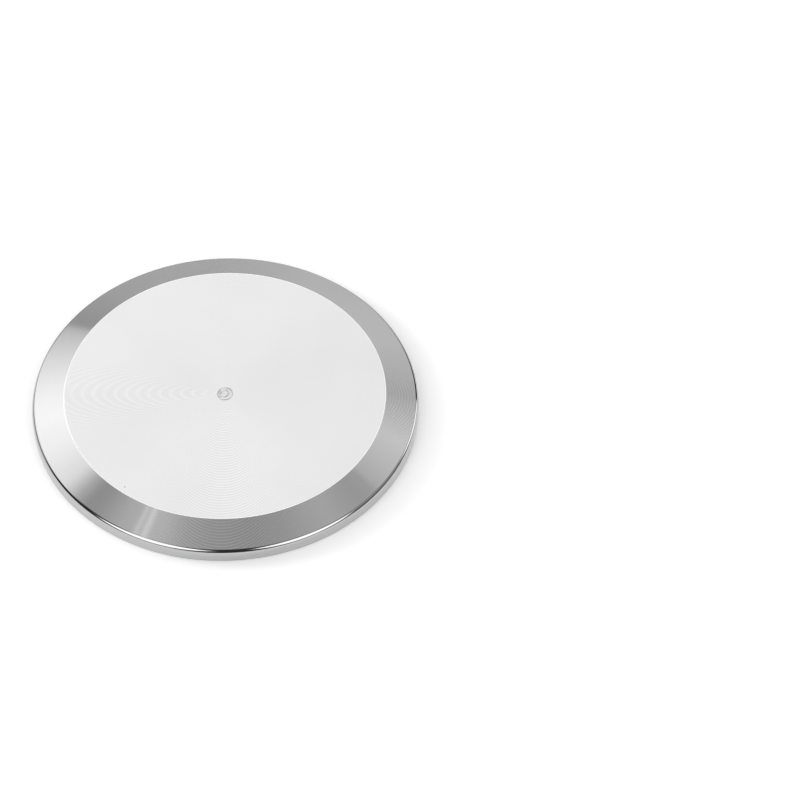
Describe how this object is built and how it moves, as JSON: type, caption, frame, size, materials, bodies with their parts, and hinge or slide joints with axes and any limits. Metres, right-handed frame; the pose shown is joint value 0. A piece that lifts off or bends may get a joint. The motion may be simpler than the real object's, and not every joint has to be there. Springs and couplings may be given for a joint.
{
  "type": "sanitary clamp end cap",
  "caption": "Round solid metal end cap for a sanitary clamp union: flat sealing face with a gasket groove, clamp taper on the back.",
  "frame": {"origin": "centre of the sealing face, on the turning axis", "axes": "+Z along the turning axis, from the sealing face towards the plain back face; X and Y are alike, because the part is a solid of revolution"},
  "size_m": [0.0775, 0.0774, 0.0052],
  "materials": {
    "turned_stainless": "bright fine-turned stainless steel: concentric tool rings on the faces and the taper, polished edges"
  },
  "bodies": {
    "root": {"end_cap": "turned_stainless"}
  },
  "joints": []
}
